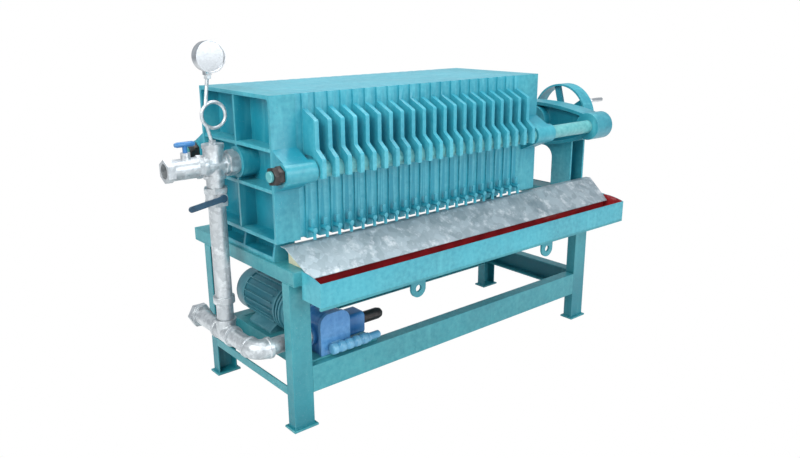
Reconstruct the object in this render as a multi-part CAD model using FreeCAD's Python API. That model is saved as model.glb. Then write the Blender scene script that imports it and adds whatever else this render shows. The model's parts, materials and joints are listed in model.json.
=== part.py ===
"""Plate filter press on a welded table, with its gear pump, feed pipe and gauge.

Working datum, millimetres, +Z up: x = 0 is the outer face of the left legs, +X runs along the press to the
handwheel, -Y is the front with the cocks and the tray, y = 0 is the press axis and z = 0 is the floor.
The finished model is moved so that its origin is the bottom centre of its bounding box.
"""
import FreeCAD, Part
import math
import os

V = FreeCAD.Vector
X = V(1, 0, 0)
Y = V(0, 1, 0)
Z = V(0, 0, 1)

# ---- table: channel legs, angle rim, channel stretchers ----
TABLE_LENGTH = 1620.0        # over the legs' outer faces
TABLE_WIDTH = 616.0          # over the legs' webs
TABLE_HEIGHT = 595.0         # top edge of the rim
LEG_WIDTH = 80.0
LEG_DEPTH = 45.0
CHANNEL_WALL = 5.0
FOOT_THICK = 8.0
FOOT_OVERHANG = 10.0
RIM_SIZE = 50.0              # leg length of the rim angle
RIM_WALL = 5.0
RIM_RIGHT_OVERHANG = 75.0
RIM_FRONT_OVERHANG = 32.0
RIM_REAR_OVERHANG = 77.0
CROSS_BEAM_WIDTH = 90.0
STRETCHER_HEIGHT = 100.0
STRETCHER_DEPTH = 48.0
STRETCHER_BOTTOM = 127.0
LEFT_TIE_SIZE = 32.0         # small angle between the left legs

# ---- press: head, plates, follower, tie rods ----
AXIS_HEIGHT = 913.0          # tie rods, screw and plate centres
PLATE_COUNT = 21
PLATE_WIDTH = 490.0
PLATE_HEIGHT = 488.0
PLATE_THICK = 51.0
PLATE_GAP = 0.4              # between closed plates
RECESS_DEPTH = 6.0           # groove round the left half of a plate's edge
RIM_BAND = 26.0              # width of that groove
EAR_THICK = 16.0
EAR_REACH = 105.0            # from the plate's side to the outside of the hook
EAR_TOP = 195.0              # above the axis, where the ear leaves the plate
EAR_HOOK_THICK = 21.0
EAR_FOOT_DROP = 22.0         # hook's end below the axis
EAR_HOLLOW_TOP = 45.0        # top of the hollow beside the rod, above the axis
ROD_SPACING = 600.0
ROD_DIA = 56.0
ROD_END_DIA = 36.0
ROD_SADDLE_GAP = 0.3
FIT_GAP = 0.05               # radial clearance of a rod or pipe in its bore

HEAD_DEPTH = 94.0
HEAD_WALL = 13.0
HEAD_FACE_THICK = 30.0
RIB_THICK = 12.0
RIB_SETBACK = 3.0            # ribs end this far inside the rim's edge
UPPER_RIB_RISE = 67.0        # above the axis
LOWER_RIB_DROP = 69.0        # below the axis
HEAD_HUB_DIA = 108.0
ROD_BOSS_DIA = 76.0
ROD_BOSS_FRONT = 4.0         # boss stands proud of the head's open side
ROD_BOSS_BACK = 21.0         # and of its plate side
BOSS_WEB_TOP = 72.0          # above the axis, at the head's side
BOSS_WEB_DROP = 66.0         # below the axis, at the head's side
HEAD_FOOT_THICK = 18.0
HEAD_FOOT_INSET = 40.0
FOLLOWER_DEPTH = 120.0
FOLLOWER_HUB_DIA = 120.0
FOLLOWER_HUB_LENGTH = 26.0
FOLLOWER_TRAVEL = 225.0
NUT_ACROSS = 55.0
NUT_THICK = 18.0
ROD_TIP = 9.0                # rod end beyond its two nuts

# ---- tail yoke, screw and handwheel ----
YOKE_X = 1580.0
YOKE_DEPTH = 100.0
YOKE_FLANGE = 16.0
YOKE_WEB = 40.0
YOKE_TOP_RISE = 87.0         # above the axis at the centre
YOKE_END_RISE = 49.0         # above the axis at the bosses
YOKE_BELLY_DROP = 114.0      # below the axis at the centre
YOKE_END_DROP = 46.0
YOKE_BOSS_DIA = 120.0
YOKE_BOSS_LENGTH = 128.0
YOKE_BOSS_DOME = 22.0
YOKE_HUB_DIA = 136.0
YOKE_HUB_LENGTH = 124.0
POST_WIDTH = 100.0           # along the press
POST_INNER = 105.0           # distance of its inner face from the axis
POST_BREADTH = 109.0
POST_WALL = 10.0
POST_BASE_THICK = 12.0
POST_BRACKET = 55.0          # radius of the curved bracket under the yoke
SCREW_DIA = 60.0
SCREW_CORE = 52.0
SCREW_PITCH = 10.0
SCREW_CLEARANCE = 0.3
WHEEL_X = 1761.0
WHEEL_WIDTH = 70.0
WHEEL_DIA = 314.0
WHEEL_RIM = 9.0
WHEEL_HUB_DIA = 92.0
SPOKE_COUNT = 5
SPOKE_WIDTH = 30.0
SPOKE_THICK = 16.0
GRIP_DIA = 20.0
GRIP_LENGTH = 108.0
GRIP_ANGLE = 146.0           # degrees round the wheel from +Y towards +Z
GRIP_RADIUS = 144.0

# ---- tray, chute and cocks ----
TRAY_LEFT = 30.0
TRAY_LENGTH = 1656.0
TRAY_WIDTH = 108.0
TRAY_BOTTOM = 497.0
TRAY_DEPTH = 82.0
TRAY_SHEET = 4.0
TRAY_END_RISE = 16.0         # the end walls' rear corner above the front edge
TRAY_RAIL = 10.0
LUG_WIDTH = 67.0
LUG_DROP = 66.0
LUG_HOLE_DIA = 26.0
LUG_POSITIONS = (447.0, 1157.0)
CHUTE_LEFT = 18.0
CHUTE_LENGTH = 1665.0
CHUTE_SHEET = 2.0
CHUTE_LIP_Z = 660.0
CHUTE_LIP_Y = -238.0
CHUTE_LIP_WIDTH = 26.0
CHUTE_TOE_Y = -372.0
CHUTE_TOE_Z = 574.0
CHUTE_TOE_TAPER = 28.0       # the lower edge is this much shorter at the left
CHUTE_TOE_TAPER_RIGHT = 13.0
BRACKET_THICK = 8.0
COCK_Z = 700.0
COCK_BODY_DIA = 17.0
COCK_BODY_LENGTH = 32.0
COCK_SPOUT_DIA = 11.0
COCK_SPOUT_END = 668.0
COCK_LEVER_TOP = 738.0
COCK_LEVER_WIDTH = 12.0
COCK_LEVER_THICK = 4.0

# ---- feed pipe, valves and gauge ----
PIPE_DIA = 60.3
PIPE_WALL = 3.6
FITTING_DIA = 76.0
FITTING_STEP = 0.5           # a branch is bored this much narrower than the run, on the radius
RISER_X = -83.0
LOWER_PIPE_Z = 300.0
PUMP_PIPE_Y = -215.0
UNION_Y = 225.0
TEE_REACH = 55.0
ELBOW_RADIUS = 40.0
UNION_NUT_ACROSS = 80.0
UNION_NUT_LENGTH = 32.0
UNION_BORE = 58.0
VALVE_Z = 805.0
VALVE_LENGTH = 62.0
VALVE_HEX = 76.0
LEVER_STEM_DIA = 18.0
LEVER_STEM_Y = -50.0
LEVER_REACH = 128.0
LEVER_WIDTH = 20.0
LEVER_THICK = 7.0
LEVER_DROOP = -9.0           # degrees about +Y
CROSS_REACH = 46.0
CROSS_TOP = 72.0
RETURN_LENGTH = 130.0
RETURN_DIA = 70.0
RETURN_HEX_LENGTH = 26.0
RETURN_BORE = 50.0
RETURN_STEM_DIA = 16.0
RETURN_STEM_X = -182.0
RETURN_STEM_HEIGHT = 72.0
RETURN_HANDLE_LENGTH = 70.0
RETURN_HANDLE_DIA = 18.0
SIPHON_DIA = 12.0
SIPHON_LOOP_DIA = 86.0
SIPHON_LOOP_Z = 1080.0
SIPHON_TOP = 1212.0
GAUGE_DIA = 103.0
GAUGE_DEPTH = 46.0
GAUGE_BACK_Y = 8.0
GAUGE_Z = 1272.0
GAUGE_STEM_WIDTH = 22.0

# ---- motor and gear pump ----
PUMP_BEAM_LEFT = 85.0
PUMP_BEAM_RIGHT = 340.0
PUMP_BEAM_WIDTH = 40.0
PUMP_BEAM_HEIGHT = 50.0
BASE_THICK = 8.0
BASE_MARGIN = 4.0
MOTOR_X = 200.0
MOTOR_HEIGHT = 90.0          # shaft above the base plate
MOTOR_DIA = 168.0
MOTOR_FIN = 8.0
MOTOR_FIN_COUNT = 20
MOTOR_FRONT = -45.0
MOTOR_LENGTH = 270.0
MOTOR_FOOT_SPREAD = 160.0
MOTOR_FOOT_THICK = 12.0
FAN_COVER_DIA = 178.0
FAN_COVER_LENGTH = 75.0
BELL_SMALL_DIA = 120.0
PUMP_FRONT = -280.0
PUMP_DEPTH = 115.0
PUMP_WIDTH = 120.0
PUMP_BODY_HEIGHT = 149.0
PUMP_FLANGE = 14.0
PORT_LENGTH = 87.0
PORT_SIZE = 84.0
NIPPLE_DIA = 44.0
NIPPLE_LENGTH = 112.0
RELIEF_DIA = 40.0
RELIEF_LENGTH = 215.0
RELIEF_X = 165.0
RELIEF_Z = 262.0
RELIEF_TIP_DIA = 28.0
RELIEF_TIP_LENGTH = 50.0

HALF_WIDTH = TABLE_WIDTH / 2
RIM_BOTTOM = TABLE_HEIGHT - RIM_SIZE
RIM_FRONT_Y = -HALF_WIDTH - RIM_FRONT_OVERHANG
RIM_REAR_Y = HALF_WIDTH + RIM_REAR_OVERHANG
RIM_RIGHT_X = TABLE_LENGTH + RIM_RIGHT_OVERHANG
BEAM_BOTTOM = RIM_BOTTOM + RIM_WALL
BEAM_TOP = STRETCHER_BOTTOM + STRETCHER_HEIGHT
BASE_TOP = BEAM_TOP + BASE_THICK
SHAFT_Z = BASE_TOP + MOTOR_HEIGHT
ROD_Y = ROD_SPACING / 2
PLATE_PITCH = PLATE_THICK + PLATE_GAP
STACK_START = HEAD_DEPTH + PLATE_GAP
FOLLOWER_X = STACK_START + PLATE_COUNT * PLATE_PITCH
FOLLOWER_BACK = FOLLOWER_X + FOLLOWER_DEPTH
PLATE_BOTTOM = AXIS_HEIGHT - PLATE_HEIGHT / 2
PLATE_TOP = AXIS_HEIGHT + PLATE_HEIGHT / 2
SIDE = PLATE_WIDTH / 2


def box(x0, x1, y0, y1, z0, z1):
    return Part.makeBox(x1 - x0, y1 - y0, z1 - z0, V(x0, y0, z0))


def rod(radius, start, end):
    run = end - start
    return Part.makeCylinder(radius, run.Length, start, run)


def ring(outer, inner, start, end):
    run = end - start
    reach = run.normalize()
    length = (end - start).Length
    bore = Part.makeCylinder(inner, length + 2, start - reach, reach)
    return Part.makeCylinder(outer, length, start, reach).cut(bore)


def face(points):
    return Part.Face(Part.makePolygon([V(*p) for p in points] + [V(*points[0])]))


def slab_x(points, x0, x1):
    """Outline in (y, z), extruded from x0 to x1."""
    return face([(x0, y, z) for y, z in points]).extrude(V(x1 - x0, 0, 0))


def slab_y(points, y0, y1):
    """Outline in (x, z), extruded from y0 to y1."""
    return face([(x, y0, z) for x, z in points]).extrude(V(0, y1 - y0, 0))


def hex_nut(across, start, end):
    run = end - start
    corner = across / math.sqrt(3)
    points = [V(corner * math.cos(a * math.pi / 3), corner * math.sin(a * math.pi / 3), 0) for a in range(6)]
    prism = Part.Face(Part.makePolygon(points + [points[0]])).extrude(V(0, 0, run.Length))
    turn = FreeCAD.Rotation(Z, run)
    prism.Placement = FreeCAD.Placement(start, turn)
    return prism


def revolve(profile, start, direction):
    """Profile of (distance along the axis, radius) points, turned about the line from start."""
    points = [(0, 0)] + list(profile) + [(profile[-1][0], 0)]
    outline = face([(r, 0, s) for s, r in points])
    solid = outline.revolve(V(0, 0, 0), Z, 360)
    solid.Placement = FreeCAD.Placement(start, FreeCAD.Rotation(Z, direction))
    return solid


def mirrored(shape):
    return shape.mirror(V(0, 0, 0), Y)


def both_sides(shape):
    return Part.makeCompound([shape, mirrored(shape)])


def fused(first, *others):
    return first.fuse(list(others)).removeSplitter()


# ---------------------------------------------------------------- table

def leg(x, side):
    """Channel leg with its web outwards, on a foot plate. side is -1 for the front and 1 for the rear.

    The right rear leg carries a cross beam directly, and the others carry the rim.
    """
    top = BEAM_BOTTOM if side > 0 and x > 0 else RIM_BOTTOM
    outer = side * HALF_WIDTH
    inner = side * (HALF_WIDTH - LEG_DEPTH)
    wall = side * CHANNEL_WALL
    y0, y1 = sorted((outer, inner))
    channel = box(x, x + LEG_WIDTH, y0, y1, FOOT_THICK, top)
    w0, w1 = sorted((inner, outer - wall))
    channel = channel.cut(box(x + CHANNEL_WALL, x + LEG_WIDTH - CHANNEL_WALL, w0, w1, FOOT_THICK, top))
    over = FOOT_OVERHANG
    foot = box(x - over, x + LEG_WIDTH + over, y0 - over, y1 + over, 0, FOOT_THICK)
    return fused(channel, foot)


def make_legs():
    right = TABLE_LENGTH - LEG_WIDTH
    return Part.makeCompound([leg(x, side) for x in (0, right) for side in (-1, 1)])


def make_rim_long_rails():
    """Front and rear angles, their upright legs outside."""
    front = slab_x([(RIM_FRONT_Y, RIM_BOTTOM), (RIM_FRONT_Y + RIM_SIZE, RIM_BOTTOM),
                    (RIM_FRONT_Y + RIM_SIZE, BEAM_BOTTOM), (RIM_FRONT_Y + RIM_WALL, BEAM_BOTTOM),
                    (RIM_FRONT_Y + RIM_WALL, TABLE_HEIGHT), (RIM_FRONT_Y, TABLE_HEIGHT)], 0, RIM_RIGHT_X)
    rear = mirrored(front)
    rear.translate(V(0, RIM_REAR_Y + RIM_FRONT_Y, 0))
    return Part.makeCompound([front, rear])


def make_rim_end_rails():
    """Upright strips with a ledge that close the rim at both ends, between the long rails."""
    y0 = RIM_FRONT_Y + RIM_WALL
    y1 = RIM_REAR_Y - RIM_WALL
    ledge_front = RIM_FRONT_Y + RIM_SIZE
    ledge_rear = RIM_REAR_Y - RIM_SIZE
    upright = box(0, RIM_WALL, y0, y1, BEAM_BOTTOM, TABLE_HEIGHT)
    left = fused(upright, box(0, RIM_SIZE, ledge_front, ledge_rear, RIM_BOTTOM, BEAM_BOTTOM))
    right = left.mirror(V(RIM_RIGHT_X / 2, 0, 0), X)
    return Part.makeCompound([left, right])


def make_cross_beams():
    """Inverted channels across the table, under the head and under the posts of the yoke."""
    y0 = RIM_FRONT_Y + RIM_WALL
    y1 = RIM_REAR_Y - RIM_WALL
    beams = []
    for x in (RIM_WALL, YOKE_X + POST_WALL):
        beam = box(x, x + CROSS_BEAM_WIDTH, y0, y1, BEAM_BOTTOM, TABLE_HEIGHT)
        inside = box(x + CHANNEL_WALL, x + CROSS_BEAM_WIDTH - CHANNEL_WALL, y0, y1,
                     BEAM_BOTTOM, TABLE_HEIGHT - CHANNEL_WALL)
        beams.append(beam.cut(inside))
    return Part.makeCompound(beams)


def stretcher_profile(outer, direction):
    """Channel section in (across, z) with its web at outer and its flanges towards direction."""
    depth = direction * STRETCHER_DEPTH
    wall = direction * CHANNEL_WALL
    z0 = STRETCHER_BOTTOM
    z1 = BEAM_TOP
    inner0 = z0 + CHANNEL_WALL
    inner1 = z1 - CHANNEL_WALL
    return [(outer, z0), (outer + depth, z0), (outer + depth, inner0), (outer + wall, inner0),
            (outer + wall, inner1), (outer + depth, inner1), (outer + depth, z1), (outer, z1)]


def make_lower_stretchers():
    front = slab_x(stretcher_profile(-HALF_WIDTH, 1), LEG_WIDTH, TABLE_LENGTH - LEG_WIDTH)
    end = HALF_WIDTH - LEG_DEPTH
    right = slab_y(stretcher_profile(TABLE_LENGTH, -1), -end, end)
    return Part.makeCompound([front, mirrored(front), right, left_tie()])


def left_tie():
    """Small angle between the left legs, low enough for the feed pipe to pass above it."""
    end = HALF_WIDTH - LEG_DEPTH
    z0 = STRETCHER_BOTTOM
    size = LEFT_TIE_SIZE
    wall = CHANNEL_WALL
    return slab_y([(0, z0), (size, z0), (size, z0 + wall), (wall, z0 + wall), (wall, z0 + size), (0, z0 + size)],
                  -end, end)


def make_pump_beams():
    end = HALF_WIDTH - STRETCHER_DEPTH
    z0 = BEAM_TOP - PUMP_BEAM_HEIGHT
    wall = CHANNEL_WALL
    beams = []
    for x in (PUMP_BEAM_LEFT, PUMP_BEAM_RIGHT):
        beam = box(x, x + PUMP_BEAM_WIDTH, -end, end, z0, BEAM_TOP)
        beams.append(beam.cut(box(x + wall, x + PUMP_BEAM_WIDTH, -end, end, z0 + wall, BEAM_TOP - wall)))
    return Part.makeCompound(beams)


def make_base_plate():
    return box(PUMP_BEAM_LEFT - BASE_MARGIN, PUMP_BEAM_RIGHT + PUMP_BEAM_WIDTH + BASE_MARGIN,
               PUMP_FRONT - BASE_MARGIN, MOTOR_FRONT + MOTOR_LENGTH + BASE_MARGIN, BEAM_TOP, BASE_TOP)


# ---------------------------------------------------------------- press castings

def tangent_point(point, centre, radius, side):
    """Where the line from point touches the circle, in (y, z); side picks one of the two."""
    dy = point[0] - centre[0]
    dz = point[1] - centre[1]
    distance = math.hypot(dy, dz)
    bearing = math.atan2(dz, dy)
    swing = math.acos(radius / distance)
    angle = bearing + side * swing
    return centre[0] + radius * math.cos(angle), centre[1] + radius * math.sin(angle)


def boss_outline(root_y, top, bottom, radius, x):
    """Face of a lug that runs from a casting's side to a round boss on the front tie rod."""
    centre = (-ROD_Y, AXIS_HEIGHT)
    high = tangent_point((root_y, top), centre, radius, 1)
    low = tangent_point((root_y, bottom), centre, radius, -1)
    at = [V(x, *p) for p in ((root_y, top), high, (-ROD_Y - radius, AXIS_HEIGHT), low, (root_y, bottom))]
    edges = [Part.LineSegment(at[0], at[1]).toShape(), Part.Arc(at[1], at[2], at[3]).toShape(),
             Part.LineSegment(at[3], at[4]).toShape(), Part.LineSegment(at[4], at[0]).toShape()]
    return Part.Face(Part.Wire(edges))


def rod_lug(x0, x1, boss_x0, boss_x1, bore):
    """Sloping web from the casting's side out to the rod boss, with the boss longer than the web."""
    radius = ROD_BOSS_DIA / 2
    web = boss_outline(-SIDE, AXIS_HEIGHT + BOSS_WEB_TOP, AXIS_HEIGHT - BOSS_WEB_DROP, radius, x0)
    lug = web.extrude(V(x1 - x0, 0, 0))
    lug = lug.fuse(rod(radius, V(boss_x0, -ROD_Y, AXIS_HEIGHT), V(boss_x1, -ROD_Y, AXIS_HEIGHT)))
    hole = rod(bore / 2 + FIT_GAP, V(boss_x0 - 1, -ROD_Y, AXIS_HEIGHT), V(boss_x1 + 1, -ROD_Y, AXIS_HEIGHT))
    return lug.cut(hole)


def box_casting(x0, x1, open_side):
    """Square casting with a rim, a face plate and ribs. open_side is -1 or 1 along X."""
    block = box(x0, x1, -SIDE, SIDE, PLATE_BOTTOM, PLATE_TOP)
    inner = SIDE - HEAD_WALL
    if open_side < 0:
        hollow0, hollow1 = x0, x1 - HEAD_FACE_THICK
    else:
        hollow0, hollow1 = x0 + HEAD_FACE_THICK, x1
    hollow = box(hollow0, hollow1, -inner, inner, PLATE_BOTTOM + HEAD_WALL, PLATE_TOP - HEAD_WALL)
    draft = [e for e in hollow.Edges if e.BoundBox.XLength > 1]
    block = block.cut(hollow.makeFillet(RIB_THICK, draft))
    rib0 = hollow0 + RIB_SETBACK if open_side < 0 else hollow0
    rib1 = hollow1 if open_side < 0 else hollow1 - RIB_SETBACK
    half = RIB_THICK / 2
    ribs = [box(rib0, rib1, -half, half, PLATE_BOTTOM + HEAD_WALL / 2, PLATE_TOP - HEAD_WALL / 2)]
    for z in (AXIS_HEIGHT + UPPER_RIB_RISE, AXIS_HEIGHT - LOWER_RIB_DROP):
        ribs.append(box(rib0, rib1, -SIDE + HEAD_WALL / 2, SIDE - HEAD_WALL / 2, z - half, z + half))
    return block.fuse(ribs)


def make_head_plate():
    """Fixed head: open ribbed casting, feed hub at its centre, rod bosses at its sides and a foot below."""
    casting = box_casting(0, HEAD_DEPTH, -1)
    hub = rod(HEAD_HUB_DIA / 2, V(0, 0, AXIS_HEIGHT), V(HEAD_DEPTH, 0, AXIS_HEIGHT))
    lug = rod_lug(0, HEAD_DEPTH, -ROD_BOSS_FRONT, HEAD_DEPTH + ROD_BOSS_BACK, ROD_END_DIA)
    foot_x = HEAD_DEPTH - HEAD_FACE_THICK
    inset = SIDE - HEAD_FOOT_INSET
    wall = box(foot_x, HEAD_DEPTH, -inset, inset, TABLE_HEIGHT, PLATE_BOTTOM)
    sole = box(RIM_WALL * 2, HEAD_DEPTH, -inset, inset, TABLE_HEIGHT, TABLE_HEIGHT + HEAD_FOOT_THICK)
    stays = [slab_y([(RIM_WALL * 2, TABLE_HEIGHT + HEAD_FOOT_THICK), (foot_x, TABLE_HEIGHT + HEAD_FOOT_THICK),
                     (foot_x, PLATE_BOTTOM), (RIM_WALL * 2 + RIB_THICK, PLATE_BOTTOM)], y - RIB_THICK / 2,
                    y + RIB_THICK / 2) for y in (RIB_THICK / 2 - inset, 0, inset - RIB_THICK / 2)]
    head = casting.fuse([hub, lug, mirrored(lug), wall, sole] + stays).removeSplitter()
    feed = rod(PIPE_DIA / 2 - PIPE_WALL, V(-1, 0, AXIS_HEIGHT), V(HEAD_DEPTH + 1, 0, AXIS_HEIGHT))
    return head.cut(feed)


def make_follower_plate():
    """Moving head, the mirror of the fixed one, with lugs that run on the tie rods and a screw hub."""
    casting = box_casting(FOLLOWER_X, FOLLOWER_BACK, 1)
    hub_end = FOLLOWER_BACK + FOLLOWER_HUB_LENGTH
    hub = rod(FOLLOWER_HUB_DIA / 2, V(FOLLOWER_X + 1, 0, AXIS_HEIGHT), V(hub_end, 0, AXIS_HEIGHT))
    lug_x = FOLLOWER_X + HEAD_FACE_THICK
    lug = rod_lug(lug_x, FOLLOWER_BACK, lug_x, FOLLOWER_BACK + ROD_BOSS_BACK, ROD_DIA + 2 * ROD_SADDLE_GAP)
    follower = casting.fuse([hub, lug, mirrored(lug)]).removeSplitter()
    socket = rod(SCREW_CORE / 2 + SCREW_CLEARANCE, V(FOLLOWER_BACK, 0, AXIS_HEIGHT), V(hub_end + 1, 0, AXIS_HEIGHT))
    return follower.cut(socket)


def ear_outline(x):
    """Cast ear in (y, z): leaves the plate's side, drops over the tie rod and hooks round its outside."""
    outside = -SIDE - EAR_REACH
    shoulder = -ROD_Y - ROD_DIA / 4
    foot = AXIS_HEIGHT - EAR_FOOT_DROP
    return face([(x, y, z) for y, z in (
        (-SIDE + 1, AXIS_HEIGHT + EAR_TOP + 6), (-SIDE, AXIS_HEIGHT + EAR_TOP),
        (shoulder, AXIS_HEIGHT + EAR_TOP - 33), (shoulder, AXIS_HEIGHT + EAR_HOLLOW_TOP + 24),
        (outside, AXIS_HEIGHT + EAR_HOLLOW_TOP - 4), (outside, foot),
        (outside + EAR_HOOK_THICK, foot), (outside + EAR_HOOK_THICK, AXIS_HEIGHT - 2),
        (-SIDE + 1, AXIS_HEIGHT - 2))])


def plate_ear(x):
    ear = ear_outline(x).extrude(V(EAR_THICK, 0, 0))
    bends = [e for e in ear.Edges if e.BoundBox.XLength > EAR_THICK / 2 and e.BoundBox.YMax < -SIDE - 1
             and e.BoundBox.ZMin > AXIS_HEIGHT]
    ear = ear.makeFillet(EAR_THICK / 2, bends)
    saddle = rod(ROD_DIA / 2 + ROD_SADDLE_GAP, V(x - 1, -ROD_Y, AXIS_HEIGHT), V(x + EAR_THICK + 1, -ROD_Y, AXIS_HEIGHT))
    hollow = box(x - 1, x + EAR_THICK + 1, -ROD_Y, -SIDE, AXIS_HEIGHT - 3, AXIS_HEIGHT + EAR_HOLLOW_TOP)
    corners = [e for e in hollow.Edges if e.BoundBox.XLength > 1 and e.BoundBox.ZMin > AXIS_HEIGHT]
    hollow = hollow.makeFillet(ROD_DIA / 4, corners)
    slot = box(x - 1, x + EAR_THICK + 1, -ROD_Y - ROD_DIA / 2 - ROD_SADDLE_GAP, -ROD_Y,
               AXIS_HEIGHT - EAR_FOOT_DROP - 1, AXIS_HEIGHT)
    return ear.cut(saddle).cut(hollow).cut(slot)


def plate_cock(x):
    """Filtrate cock in the plate's lower front edge: hexagon barrel, down spout, plug and flat lever."""
    tip_y = -SIDE - COCK_BODY_LENGTH
    plug_y = -SIDE - COCK_BODY_LENGTH * 0.55
    barrel = hex_nut(COCK_BODY_DIA, V(x, -SIDE, COCK_Z), V(x, tip_y, COCK_Z))
    spout_y = tip_y + COCK_SPOUT_DIA / 2
    spout = hex_nut(COCK_SPOUT_DIA, V(x, spout_y, COCK_Z), V(x, spout_y, COCK_SPOUT_END))
    half = COCK_LEVER_WIDTH / 2
    thick = COCK_LEVER_THICK / 2
    lever = box(x - half, x + half, plug_y - thick, plug_y + thick, COCK_Z, COCK_LEVER_TOP)
    return barrel.fuse([spout, lever])


def make_filter_plate(number):
    """One chamber plate: thick rim band, grooved left edge, two hooked ears and its filtrate cock."""
    x0 = STACK_START + (number - 1) * PLATE_PITCH
    groove_end = x0 + RIM_BAND
    inner = SIDE - RECESS_DEPTH
    x1 = x0 + PLATE_THICK
    thin = box(x0, groove_end, -inner, inner, PLATE_BOTTOM + RECESS_DEPTH, PLATE_TOP)
    band = box(groove_end, x1, -SIDE, SIDE, PLATE_BOTTOM, PLATE_TOP)
    ear = plate_ear(groove_end)
    cock = plate_cock((groove_end + x1) / 2)
    plate = thin.fuse([band, ear, mirrored(ear), cock]).removeSplitter()
    feed = rod(PIPE_DIA / 2 - PIPE_WALL, V(x0 - 1, 0, AXIS_HEIGHT), V(x1 + 1, 0, AXIS_HEIGHT))
    return plate.cut(feed)


def make_tie_rods():
    shoulder = HEAD_DEPTH + ROD_BOSS_BACK
    tip = -ROD_BOSS_FRONT - 2 * NUT_THICK - ROD_TIP
    end = YOKE_X + YOKE_BOSS_LENGTH - YOKE_BOSS_DOME
    bar = rod(ROD_DIA / 2, V(shoulder, -ROD_Y, AXIS_HEIGHT), V(end, -ROD_Y, AXIS_HEIGHT))
    front = bar.fuse(rod(ROD_END_DIA / 2, V(tip, -ROD_Y, AXIS_HEIGHT), V(shoulder, -ROD_Y, AXIS_HEIGHT)))
    return both_sides(front)


def make_rod_nuts():
    """Two stacked nuts on each threaded rod end."""
    nuts = []
    for side in (-1, 1):
        start = -ROD_BOSS_FRONT
        end = start - 2 * NUT_THICK
        pair = [hex_nut(NUT_ACROSS, V(start - i * NUT_THICK, side * ROD_Y, AXIS_HEIGHT),
                        V(start - (i + 1) * NUT_THICK, side * ROD_Y, AXIS_HEIGHT)) for i in (0, 1)]
        pair[1].rotate(V(0, side * ROD_Y, AXIS_HEIGHT), X, 20)
        stack = pair[0].fuse(pair[1])
        bore = rod(ROD_END_DIA / 2 + FIT_GAP, V(end - 1, side * ROD_Y, AXIS_HEIGHT),
                   V(start + 1, side * ROD_Y, AXIS_HEIGHT))
        nuts.append(stack.cut(bore))
    return Part.makeCompound(nuts)


# ---------------------------------------------------------------- tail yoke, screw, handwheel

def yoke_edge(centre_z, end_z, x):
    """Curved long edge of the fish-bellied yoke, from the front boss to the rear one."""
    reach = ROD_Y
    return Part.Arc(V(x, -reach, end_z), V(x, 0, centre_z), V(x, reach, end_z)).toShape()


def yoke_outline(x, inset):
    top = yoke_edge(AXIS_HEIGHT + YOKE_TOP_RISE - inset, AXIS_HEIGHT + YOKE_END_RISE - inset, x)
    belly = yoke_edge(AXIS_HEIGHT - YOKE_BELLY_DROP + inset, AXIS_HEIGHT - YOKE_END_DROP + inset, x)
    ends = [Part.makeLine(top.Vertexes[i].Point, belly.Vertexes[i].Point) for i in (0, 1)]
    return Part.Face(Part.Wire(Part.__sortEdges__([top, belly] + ends)))


def make_tail_yoke():
    """Fish-bellied beam with flanges, a nut hub at its centre and a domed rod boss at each end."""
    block = yoke_outline(YOKE_X, 0).extrude(V(YOKE_DEPTH, 0, 0))
    pocket_depth = (YOKE_DEPTH - YOKE_WEB) / 2
    near = yoke_outline(YOKE_X, YOKE_FLANGE).extrude(V(pocket_depth, 0, 0))
    far = yoke_outline(YOKE_X + YOKE_DEPTH - pocket_depth, YOKE_FLANGE).extrude(V(pocket_depth, 0, 0))
    block = block.cut(near).cut(far)
    hub_x = YOKE_X - (YOKE_HUB_LENGTH - YOKE_DEPTH) / 2
    hub = rod(YOKE_HUB_DIA / 2, V(hub_x, 0, AXIS_HEIGHT), V(hub_x + YOKE_HUB_LENGTH, 0, AXIS_HEIGHT))
    radius = YOKE_BOSS_DIA / 2
    straight = YOKE_BOSS_LENGTH - YOKE_BOSS_DOME
    dome = [(0, radius), (straight, radius), (straight + YOKE_BOSS_DOME * 0.6, radius * 0.82),
            (YOKE_BOSS_LENGTH, radius * 0.45)]
    bosses = [revolve(dome, V(YOKE_X, side * ROD_Y, AXIS_HEIGHT), X) for side in (-1, 1)]
    yoke = block.fuse([hub] + bosses).removeSplitter()
    bores = [rod(ROD_DIA / 2 + FIT_GAP, V(YOKE_X - 1, side * ROD_Y, AXIS_HEIGHT),
                 V(YOKE_X + straight, side * ROD_Y, AXIS_HEIGHT)) for side in (-1, 1)]
    nut = rod(SCREW_DIA / 2 + SCREW_CLEARANCE, V(hub_x - 1, 0, AXIS_HEIGHT),
              V(hub_x + YOKE_HUB_LENGTH + 1, 0, AXIS_HEIGHT))
    return yoke.cut(nut).cut(bores[0]).cut(bores[1])


def yoke_post(side):
    """Box-like post of two flanges and a web, with a curved bracket to the yoke's belly on its inner side."""
    x1 = YOKE_X + POST_WALL + POST_WIDTH
    x0 = x1 - POST_WIDTH
    y0 = POST_INNER
    y1 = POST_INNER + POST_BREADTH
    base = TABLE_HEIGHT + POST_BASE_THICK
    top = AXIS_HEIGHT
    post = box(x0, x1, y0, y1, base, top)
    post = post.cut(box(x0 + POST_WALL, x1 - POST_WALL, y0 + POST_WALL, y1 + 1, base, top))
    corner = V(x0, y0 - POST_BRACKET, AXIS_HEIGHT - YOKE_BELLY_DROP - POST_BRACKET)
    web = box(x0, x0 + POST_WALL, y0 - POST_BRACKET, y0, corner.z, AXIS_HEIGHT - YOKE_BELLY_DROP + YOKE_FLANGE)
    web = web.cut(rod(POST_BRACKET, corner - X, corner + V(POST_WALL + 1, 0, 0)))
    foot = box(x0 - POST_WALL, x1, y0 - POST_WALL, y1 + POST_WALL, TABLE_HEIGHT, base)
    shape = post.fuse([web, foot]).removeSplitter()
    return shape if side > 0 else mirrored(shape)


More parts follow.
